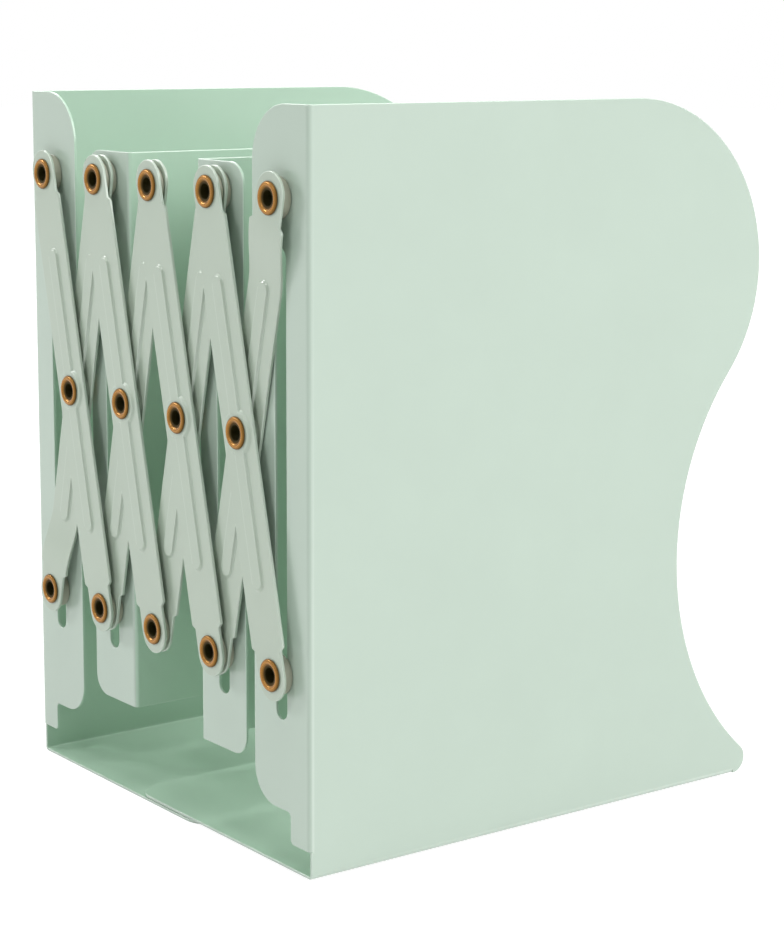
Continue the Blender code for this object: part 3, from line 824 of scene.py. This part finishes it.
def turned_fitting_tree():
    """The node tree that turns a section into a ring at every point of a mesh.

    Each point's own grip moves the part of the ring behind the stack back by that much.
    """
    tree = bpy.data.node_groups.new("Turned fitting", "GeometryNodeTree")
    face = tree.interface
    face.new_socket("Geometry", in_out="INPUT", socket_type="NodeSocketGeometry")
    face.new_socket("Section", in_out="INPUT", socket_type="NodeSocketObject")
    face.new_socket("Turn Steps", in_out="INPUT", socket_type="NodeSocketInt")
    face.new_socket("Material", in_out="INPUT", socket_type="NodeSocketMaterial")
    face.new_socket("Geometry", in_out="OUTPUT", socket_type="NodeSocketGeometry")
    nodes, links = tree.nodes, tree.links

    def node(kind, **values):
        made = nodes.new(kind)
        for name, value in values.items():
            setattr(made, name, value)
        return made

    given = node("NodeGroupInput")
    result = node("NodeGroupOutput")
    section = node("GeometryNodeObjectInfo")
    links.new(given.outputs["Section"], section.inputs["Object"])
    outline = node("GeometryNodeMeshToCurve")
    links.new(section.outputs["Geometry"], outline.inputs["Mesh"])
    path = node("GeometryNodeCurvePrimitiveCircle")
    path.inputs["Radius"].default_value = TURN_PATH_RADIUS
    links.new(given.outputs["Turn Steps"], path.inputs["Resolution"])
    ring = node("GeometryNodeCurveToMesh")
    links.new(path.outputs["Curve"], ring.inputs["Curve"])
    links.new(outline.outputs["Curve"], ring.inputs["Profile Curve"])
    upright = node("GeometryNodeTransform")
    upright.inputs["Rotation"].default_value = (pi / 2, 0.0, 0.0)
    links.new(ring.outputs["Mesh"], upright.inputs["Geometry"])
    spread = node("GeometryNodeInstanceOnPoints")
    links.new(given.outputs["Geometry"], spread.inputs["Points"])
    links.new(upright.outputs["Geometry"], spread.inputs["Instance"])
    real = node("GeometryNodeRealizeInstances")
    links.new(spread.outputs["Instances"], real.inputs["Geometry"])
    grip = node("GeometryNodeInputNamedAttribute", data_type="FLOAT")
    grip.inputs["Name"].default_value = "grip"
    behind = node("GeometryNodeInputNamedAttribute", data_type="FLOAT")
    behind.inputs["Name"].default_value = "behind"
    reach = node("ShaderNodeMath", operation="MULTIPLY")
    links.new(grip.outputs["Attribute"], reach.inputs[0])
    links.new(behind.outputs["Attribute"], reach.inputs[1])
    offset = node("ShaderNodeCombineXYZ")
    links.new(reach.outputs["Value"], offset.inputs["Y"])
    stretch = node("GeometryNodeSetPosition")
    links.new(real.outputs["Geometry"], stretch.inputs["Geometry"])
    links.new(offset.outputs["Vector"], stretch.inputs["Offset"])
    finish = node("GeometryNodeSetMaterial")
    links.new(stretch.outputs["Geometry"], finish.inputs["Geometry"])
    links.new(given.outputs["Material"], finish.inputs["Material"])
    links.new(finish.outputs["Geometry"], result.inputs["Geometry"])
    return tree


def add_fittings(name, tree, section, steps, material, places, body, cad_nodes):
    """Rings of one section at the places (point, grip) of one body, as a plain mesh."""
    points = bpy.data.meshes.new(name + "_points")
    points.from_pydata([ORIGIN + Vector(place) for place, _ in places], [], [])
    grip = points.attributes.new("grip", "FLOAT", "POINT")
    grip.data.foreach_set("value", [value for _, value in places])
    draft = bpy.data.objects.new(name + "_draft", points)
    bpy.context.scene.collection.objects.link(draft)
    modifier = draft.modifiers.new("Turned fitting", "NODES")
    modifier.node_group = tree
    sockets = {item.name: item.identifier for item in tree.interface.items_tree}
    modifier[sockets["Section"]] = section
    modifier[sockets["Turn Steps"]] = steps
    modifier[sockets["Material"]] = material
    mesh = evaluated_mesh(draft, name)
    bm = bmesh.new()
    bm.from_mesh(mesh)
    bmesh.ops.recalc_face_normals(bm, faces=bm.faces)
    bm.to_mesh(mesh)
    bm.free()
    return add_piece(name, mesh, material, body, cad_nodes)


def top_body(index):
    """What carries the eyelet and washers of a top pivot."""
    return "left_end" if index == 1 else f"rear_link_{index - 1}"


def bottom_body(index):
    """What carries the eyelet and washers of a bottom pivot."""
    return "rear_link_1" if index == 1 else f"front_link_{index - 1}"


def eyelets_by_body(thickness, rise):
    """For each body, the eyelets on it as (place, grip, CAD node)."""
    last = CELL_COUNT + 1
    divider_back = DIVIDER_PLANE + thickness
    backs = {1: thickness, 2: divider_back, CELL_COUNT: divider_back, last: thickness}
    found = {}
    rows = (("top", TOP_PIVOT_HEIGHT, top_body), ("bottom", BOTTOM_PIVOT_HEIGHT, bottom_body))
    for row, height, body_of in rows:
        for index in range(1, last + 1):
            grip = backs.get(index, REAR_LINK_BACK) - FRONT_LINK_FRONT + 2 * RUNNING_GAP
            place = (pivot_x(index), FRONT_LINK_FRONT - RUNNING_GAP, height)
            item = (place, grip, f"{row}_eyelet_{index}")
            found.setdefault(body_of(index), []).append(item)
    front, back = FRONT_LINK_FRONT - rise, REAR_LINK_BACK - rise
    for index in range(1, last):
        place = (middle_x(index), front - RUNNING_GAP, MIDDLE_HEIGHT)
        item = (place, back - front + 2 * RUNNING_GAP, f"middle_eyelet_{index}")
        found.setdefault(f"front_link_{index}", []).append(item)
    return found


def washers_by_body(rise):
    """For each body and thickness, the washers on it as (place, grip, CAD node)."""
    last = CELL_COUNT + 1
    depth = FRONT_LINK_BACK + RUNNING_GAP
    found = {}
    for index in range(1, last):
        item = ((middle_x(index), depth - rise, MIDDLE_HEIGHT), 0.0, f"middle_link_washer_{index}")
        found.setdefault((f"front_link_{index}", "link"), []).append(item)
    rows = (("top", TOP_PIVOT_HEIGHT, top_body), ("bottom", BOTTOM_PIVOT_HEIGHT, bottom_body))
    for row, height, body_of in rows:
        for index in range(1, last + 1):
            body = body_of(index)
            if 1 < index < last:
                item = ((pivot_x(index), depth, height), 0.0, f"{row}_link_washer_{index}")
                found.setdefault((body, "link"), []).append(item)
            node = f"{row}_flange_washer_{index}"
            if index in (1, last):
                found.setdefault((body, "end"), []).append(((pivot_x(index), depth, height), 0.0, node))
            if index in (2, CELL_COUNT):
                place = (pivot_x(index), REAR_LINK_BACK + RUNNING_GAP, height)
                found.setdefault((body, "flange"), []).append((place, 0.0, node))
    return found


class BOOKEND_OT_eyelets(bpy.types.Operator):
    """Make the hollow copper eyelets of every body"""

    bl_idname = "bookend.eyelets"
    bl_label = "Eyelets"

    def execute(self, context):
        settings = context.scene.bookend_fittings
        section = profile_object("eyelet_section", eyelet_section(settings))
        tree = turned_fitting_tree()
        material = copper_plate(settings)
        thickness = context.scene.bookend_sheets.thickness
        groups = eyelets_by_body(thickness, context.scene.bookend_links.rib_rise)
        for body, items in groups.items():
            places = [(place, grip) for place, grip, _ in items]
            names = [name for _, _, name in items]
            add_fittings(
                f"{body}_eyelets",
                tree,
                section,
                settings.turn_steps,
                material,
                places,
                body,
                names,
            )
        bpy.data.objects.remove(section)
        return {"FINISHED"}


class BOOKEND_OT_washers(bpy.types.Operator):
    """Make the nylon washers of every body"""

    bl_idname = "bookend.washers"
    bl_label = "Washers"

    def execute(self, context):
        settings = context.scene.bookend_fittings
        thicknesses = {
            "link": LINK_WASHER_THICKNESS,
            "flange": FLANGE_WASHER_THICKNESS,
            "end": END_WASHER_THICKNESS,
        }
        sections = {
            kind: profile_object(kind + "_washer", washer_section(settings, thickness))
            for kind, thickness in thicknesses.items()
        }
        tree = turned_fitting_tree()
        material = clear_nylon(settings)
        groups = washers_by_body(context.scene.bookend_links.rib_rise)
        for (body, kind), items in groups.items():
            places = [(place, grip) for place, grip, _ in items]
            names = [name for _, _, name in items]
            add_fittings(
                f"{body}_{kind}_washers",
                tree,
                sections[kind],
                settings.turn_steps,
                material,
                places,
                body,
                names,
            )
        for section in sections.values():
            bpy.data.objects.remove(section)
        return {"FINISHED"}


# Finishes


GRAIN_SIZE = 0.6 * MM
MOTTLE_SIZE = 30.0 * MM
# Pale painted highlight along rounded edges and emboss folds, and how strongly it is mixed in
EDGE_HIGHLIGHT_COLOUR = (0.78, 0.84, 0.78, 1.0)
EDGE_HIGHLIGHT_SHARE = 0.35
# Dark olive-brown painted shade for the eyelets' funnels, bores and rolled edges
EYELET_SHADE_COLOUR = (0.024, 0.018, 0.003, 1.0)
NYLON_SCATTER = 0.8 * MM
NYLON_TINT_SHARES = (0.94, 1.06)


def shader_node(tree, kind, inputs=None, **values):
    """A shader node with its settings and the values of its unlinked inputs."""
    made = tree.nodes.new(kind)
    for name, value in values.items():
        setattr(made, name, value)
    for name, value in (inputs or {}).items():
        made.inputs[name].default_value = value
    return made


def colour_mix(tree, factor, first, second):
    """Blends from the first to the second, each a plain colour or another node's output."""
    mix = shader_node(tree, "ShaderNodeMix", data_type="RGBA", blend_type="MIX")
    tree.links.new(factor, mix.inputs[0])
    for socket, colour in ((mix.inputs[6], first), (mix.inputs[7], second)):
        if isinstance(colour, bpy.types.NodeSocket):
            tree.links.new(colour, socket)
        else:
            socket.default_value = colour
    return mix.outputs[2]


def ranged(tree, value, low, high):
    """Spreads a value from zero to one over another range."""
    spread = shader_node(tree, "ShaderNodeMapRange", {"To Min": low, "To Max": high})
    tree.links.new(value, spread.inputs["Value"])
    return spread.outputs["Result"]


def stored(tree, name):
    """A value that the mesh stores at its points."""
    return shader_node(tree, "ShaderNodeAttribute", attribute_name=name).outputs["Fac"]


def new_material(name, colour):
    """An empty node material and its Principled shader."""
    material = bpy.data.materials.new(name)
    material.use_nodes = True
    material.diffuse_color = (*colour, 1.0)
    tree = material.node_tree
    shader = tree.nodes["Principled BSDF"]
    return material, tree, shader


def surface_grain_group():
    """Fine grain and broad mottle on Object coordinates, for a height and a tint."""
    found = bpy.data.node_groups.get("Surface grain")
    if found:
        return found
    group = bpy.data.node_groups.new("Surface grain", "ShaderNodeTree")
    face = group.interface
    for name, default in (("Grain Size", GRAIN_SIZE), ("Mottle Size", MOTTLE_SIZE)):
        socket = face.new_socket(name, in_out="INPUT", socket_type="NodeSocketFloat")
        socket.default_value = default
    face.new_socket("Grain", in_out="OUTPUT", socket_type="NodeSocketFloat")
    face.new_socket("Mottle", in_out="OUTPUT", socket_type="NodeSocketFloat")
    given = group.nodes.new("NodeGroupInput")
    result = group.nodes.new("NodeGroupOutput")
    place = shader_node(group, "ShaderNodeTexCoord")
    for name in ("Grain", "Mottle"):
        scale = shader_node(group, "ShaderNodeMath", {0: 1.0}, operation="DIVIDE")
        group.links.new(given.outputs[name + " Size"], scale.inputs[1])
        noise = shader_node(group, "ShaderNodeTexNoise", {"Detail": 3.0, "Roughness": 0.55})
        group.links.new(place.outputs["Object"], noise.inputs["Vector"])
        group.links.new(scale.outputs["Value"], noise.inputs["Scale"])
        group.links.new(noise.outputs["Fac"], result.inputs[name])
    return group


def powder_coat(name, outer, inner):
    """Powder coat: fine grain, a faint mottle, a deeper inner side that is painted shade and paler edges
    that are a painted highlight.
    """
    found = bpy.data.materials.get(name)
    if found:
        return found
    material, tree, shader = new_material(name, outer)
    shader.inputs["Specular IOR Level"].default_value = 0.7
    shader.inputs["Coat Weight"].default_value = 0.5
    shader.inputs["Coat Roughness"].default_value = 0.14
    grain = shader_node(tree, "ShaderNodeGroup", node_tree=surface_grain_group())
    links = tree.links

    # The inner attribute swaps in the deeper colour as painted shade on the faces that look towards the
    # books.
    coat = colour_mix(tree, stored(tree, "inner"), (*outer, 1.0), (*inner, 1.0))
    tint = shader_node(tree, "ShaderNodeVectorMath", operation="SCALE")
    links.new(coat, tint.inputs[0])
    links.new(ranged(tree, grain.outputs["Mottle"], 0.965, 1.035), tint.inputs["Scale"])
    # Painted highlight: the rim attribute mixes a pale colour onto edges and folds where light catches.
    edge_highlight = shader_node(tree, "ShaderNodeMath", {1: EDGE_HIGHLIGHT_SHARE}, operation="MULTIPLY")
    links.new(stored(tree, "rim"), edge_highlight.inputs[0])
    edge = colour_mix(tree, edge_highlight.outputs["Value"], tint.outputs["Vector"], EDGE_HIGHLIGHT_COLOUR)
    links.new(edge, shader.inputs["Base Color"])

    links.new(ranged(tree, grain.outputs["Grain"], 0.3, 0.42), shader.inputs["Roughness"])
    bump = shader_node(tree, "ShaderNodeBump", {"Strength": 0.12, "Distance": 0.1 * MM})
    links.new(grain.outputs["Grain"], bump.inputs["Height"])
    links.new(bump.outputs["Normal"], shader.inputs["Normal"])
    return material


def copper_plate(settings):
    """Bright copper plating, darkened and dulled by painted shade inside the eyelets' bores and on their
    rolled edges.
    """
    colour = settings.copper_colour
    material, tree, shader = new_material("Copper plate", colour)
    shader.inputs["Specular IOR Level"].default_value = 0.1
    grain = shader_node(tree, "ShaderNodeGroup", node_tree=surface_grain_group())
    links = tree.links
    # The bore attribute is painted shade: it mixes in the shade colour, takes away the metal and roughens
    # the surface.
    bore = stored(tree, "bore")
    links.new(colour_mix(tree, bore, (*colour, 1.0), EYELET_SHADE_COLOUR), shader.inputs["Base Color"])
    links.new(ranged(tree, bore, 1.0, 0.1), shader.inputs["Metallic"])
    dull = shader_node(tree, "ShaderNodeMath", {1: 0.45}, operation="MULTIPLY_ADD")
    links.new(bore, dull.inputs[0])
    links.new(ranged(tree, grain.outputs["Grain"], 0.1, 0.2), dull.inputs[2])
    links.new(dull.outputs["Value"], shader.inputs["Roughness"])
    return material


def clear_nylon(settings):
    """Milky nylon: light scatters a little way into it."""
    colour = settings.nylon_colour
    material, tree, shader = new_material("Clear nylon", colour)
    shader.inputs["Subsurface Weight"].default_value = 0.4
    shader.inputs["Subsurface Radius"].default_value = (1.0, 0.9, 0.7)
    shader.inputs["Subsurface Scale"].default_value = NYLON_SCATTER
    grain = shader_node(tree, "ShaderNodeGroup", node_tree=surface_grain_group())
    links = tree.links
    deep, pale = ((*(value * share for value in colour), 1.0) for share in NYLON_TINT_SHARES)
    links.new(colour_mix(tree, grain.outputs["Mottle"], deep, pale), shader.inputs["Base Color"])
    links.new(ranged(tree, grain.outputs["Grain"], 0.3, 0.45), shader.inputs["Roughness"])
    return material


# Stage


CAMERA_PLACE = (560.7 * MM, -416.25 * MM, 224.2 * MM)
CAMERA_YAW = radians(53.23)
CAMERA_PITCH = radians(9.44)
CAMERA_ROLL = radians(0.24)
CAMERA_SHIFT = (0.0006, -0.0608)
FLOOR_RADIUS = 6.0
FLOOR_FADE = (0.5, 1.6)
FLOOR_DROP = 0.05 * MM
BOUNCE_COLOUR = (0.6, 1.0, 0.74)
BOUNCE_STRENGTH = 0.13
SOFT_BOX_DISTANCE = 2.4

# Name, azimuth and elevation in degrees, width in metres, power in watts
SOFT_BOXES = (
    ("top_box", 0.0, 85.0, 1.0, 26.5),
    ("right_box", 110.0, 30.0, 1.6, 39.5),
    ("front_box", 4.0, 40.0, 0.32, 10.0),
    ("front_left_box", -54.0, 27.0, 0.45, 17.5),
    ("rear_left_box", -120.0, 25.0, 1.0, 11.0),
    ("back_box", 165.0, 35.0, 1.0, 13.2),
)


def seen_directly(tree):
    """One where a camera, mirror or glass ray meets the surface, and zero for light that bounces on."""
    path = shader_node(tree, "ShaderNodeLightPath")
    first = shader_node(tree, "ShaderNodeMath", operation="MAXIMUM")
    second = shader_node(tree, "ShaderNodeMath", operation="MAXIMUM")
    tree.links.new(path.outputs["Is Camera Ray"], first.inputs[0])
    tree.links.new(path.outputs["Is Glossy Ray"], first.inputs[1])
    tree.links.new(first.outputs["Value"], second.inputs[0])
    tree.links.new(path.outputs["Is Transmission Ray"], second.inputs[1])
    return second.outputs["Value"]


def floor_material(colour):
    """A floor seen as white with a soft shadow near the object, and that bounces plain light."""
    material = bpy.data.materials.new("Pale floor")
    material.use_nodes = True
    tree = material.node_tree
    tree.nodes.clear()
    plain = shader_node(tree, "ShaderNodeBsdfDiffuse", {"Color": (0.8, 0.8, 0.8, 1.0)})
    shaded = shader_node(tree, "ShaderNodeBsdfDiffuse", {"Color": (0.25, 0.25, 0.25, 1.0)})
    place = shader_node(tree, "ShaderNodeTexCoord")
    distance = shader_node(tree, "ShaderNodeVectorMath", operation="LENGTH")
    tree.links.new(place.outputs["Object"], distance.inputs[0])
    near, far = FLOOR_FADE
    fade = shader_node(tree, "ShaderNodeMapRange", {"From Min": near, "From Max": far})
    tree.links.new(distance.outputs["Value"], fade.inputs["Value"])
    paint = colour_mix(tree, fade.outputs["Result"], (*colour, 1.0), (1.0, 1.0, 1.0, 1.0))
    glow = shader_node(tree, "ShaderNodeEmission", {"Strength": 1.0})
    tree.links.new(paint, glow.inputs["Color"])
    sum_of = shader_node(tree, "ShaderNodeAddShader")
    tree.links.new(shaded.outputs["BSDF"], sum_of.inputs[0])
    tree.links.new(glow.outputs["Emission"], sum_of.inputs[1])
    choice = shader_node(tree, "ShaderNodeMixShader")
    tree.links.new(seen_directly(tree), choice.inputs["Fac"])
    tree.links.new(plain.outputs["BSDF"], choice.inputs[1])
    tree.links.new(sum_of.outputs["Shader"], choice.inputs[2])
    result = shader_node(tree, "ShaderNodeOutputMaterial")
    tree.links.new(choice.outputs["Shader"], result.inputs["Surface"])
    return material


def add_floor(colour):
    """A round floor just under the bookend, out past everything that the camera sees of it."""
    bm = bmesh.new()
    rim = arc((0, 0), FLOOR_RADIUS, 0, 2 * pi, FLOOR_STEPS)[:-1]
    bm.faces.new([bm.verts.new((*point, 0.0)) for point in rim])
    mesh = bpy.data.meshes.new("floor")
    bm.to_mesh(mesh)
    bm.free()
    floor = bpy.data.objects.new("floor", mesh)
    floor.location.z = -FLOOR_DROP
    bpy.context.scene.collection.objects.link(floor)
    mesh.materials.append(floor_material(colour))


def add_world():
    """White where it is seen or mirrored, and a soft even light for everything else."""
    world = bpy.data.worlds.new("Studio")
    bpy.context.scene.world = world
    world.use_nodes = True
    tree = world.node_tree
    tree.nodes.clear()
    bounce = {"Color": (*BOUNCE_COLOUR, 1.0), "Strength": BOUNCE_STRENGTH}
    soft = shader_node(tree, "ShaderNodeBackground", bounce)
    white = shader_node(tree, "ShaderNodeBackground", {"Color": (1, 1, 1, 1), "Strength": 1.0})
    choice = shader_node(tree, "ShaderNodeMixShader")
    tree.links.new(seen_directly(tree), choice.inputs["Fac"])
    tree.links.new(soft.outputs["Background"], choice.inputs[1])
    tree.links.new(white.outputs["Background"], choice.inputs[2])
    result = shader_node(tree, "ShaderNodeOutputWorld")
    tree.links.new(choice.outputs["Shader"], result.inputs["Surface"])


def add_soft_box(name, azimuth, elevation, size, power):
    """A square soft box on a sphere round the object, facing its middle; azimuth 0 is in front."""
    light = bpy.data.lights.new(name, "AREA")
    light.shape = "SQUARE"
    light.size = size
    light.energy = power
    lamp = bpy.data.objects.new(name, light)
    ahead = cos(elevation)
    outward = Vector((sin(azimuth) * ahead, -cos(azimuth) * ahead, sin(elevation)))
    lamp.location = Vector((0.0, 0.0, HEIGHT / 2)) + outward * SOFT_BOX_DISTANCE
    lamp.rotation_euler = (-outward).to_track_quat("-Z", "Y").to_euler()
    lamp.visible_camera = False
    bpy.context.scene.collection.objects.link(lamp)


def add_camera(focal_length):
    """The photograph's view, as a place, three angles and a small shift."""
    data = bpy.data.cameras.new("camera")
    data.sensor_width = 36.0
    data.lens = focal_length
    data.shift_x, data.shift_y = CAMERA_SHIFT
    camera = bpy.data.objects.new("camera", data)
    yaw, pitch, roll = CAMERA_YAW, CAMERA_PITCH, CAMERA_ROLL
    ahead = Vector((-sin(yaw) * cos(pitch), cos(yaw) * cos(pitch), -sin(pitch)))
    right = Vector((cos(yaw), sin(yaw), 0.0))
    up = right.cross(ahead)
    across = right * cos(roll) + up * sin(roll)
    above = up * cos(roll) - right * sin(roll)
    camera.matrix_world = Matrix.Translation(CAMERA_PLACE) @ Matrix(
        (across, above, -ahead)
    ).transposed().to_4x4()
    bpy.context.scene.collection.objects.link(camera)
    bpy.context.scene.camera = camera


class BOOKEND_OT_stage(bpy.types.Operator):
    """Make the floor, the studio light and the camera"""

    bl_idname = "bookend.stage"
    bl_label = "Stage"

    def execute(self, context):
        settings = context.scene.bookend_stage
        context.scene.view_settings.view_transform = "Standard"
        add_floor(settings.floor_colour)
        add_world()
        for name, azimuth, elevation, size, power in SOFT_BOXES:
            add_soft_box(name, radians(azimuth), radians(elevation), size, power)
        add_camera(settings.focal_length)
        return {"FINISHED"}


class BOOKEND_PT_panel(bpy.types.Panel):
    """Lists the settings and the operators that make the bookend"""

    bl_idname = "BOOKEND_PT_panel"
    bl_label = "Expanding bookend"
    bl_space_type = "VIEW_3D"
    bl_region_type = "UI"
    bl_category = "Bookend"

    def draw(self, context):
        layout = self.layout
        for name, group in SETTINGS.items():
            values = getattr(context.scene, name)
            box = layout.box()
            for key in group.__annotations__:
                box.prop(values, key)
        for operator in OPERATORS:
            layout.operator(operator.bl_idname)


SETTINGS = {
    "bookend_sheets": BookendSheetSettings,
    "bookend_links": BookendLinkSettings,
    "bookend_fittings": BookendFittingSettings,
    "bookend_stage": BookendStageSettings,
}
OPERATORS = (
    BOOKEND_OT_end_panels,
    BOOKEND_OT_dividers,
    BOOKEND_OT_links,
    BOOKEND_OT_eyelets,
    BOOKEND_OT_washers,
    BOOKEND_OT_stage,
)


def register():
    for group in SETTINGS.values():
        bpy.utils.register_class(group)
    for name, group in SETTINGS.items():
        setattr(bpy.types.Scene, name, PointerProperty(type=group))
    for operator in OPERATORS:
        bpy.utils.register_class(operator)
    bpy.utils.register_class(BOOKEND_PT_panel)


def unregister():
    bpy.utils.unregister_class(BOOKEND_PT_panel)
    for operator in reversed(OPERATORS):
        bpy.utils.unregister_class(operator)
    for name in SETTINGS:
        delattr(bpy.types.Scene, name)
    for group in reversed(SETTINGS.values()):
        bpy.utils.unregister_class(group)


def main():
    """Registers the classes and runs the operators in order."""
    register()
    bpy.ops.bookend.end_panels()
    bpy.ops.bookend.dividers()
    bpy.ops.bookend.links()
    bpy.ops.bookend.eyelets()
    bpy.ops.bookend.washers()
    bpy.ops.bookend.stage()


if __name__ == "__main__":
    main()
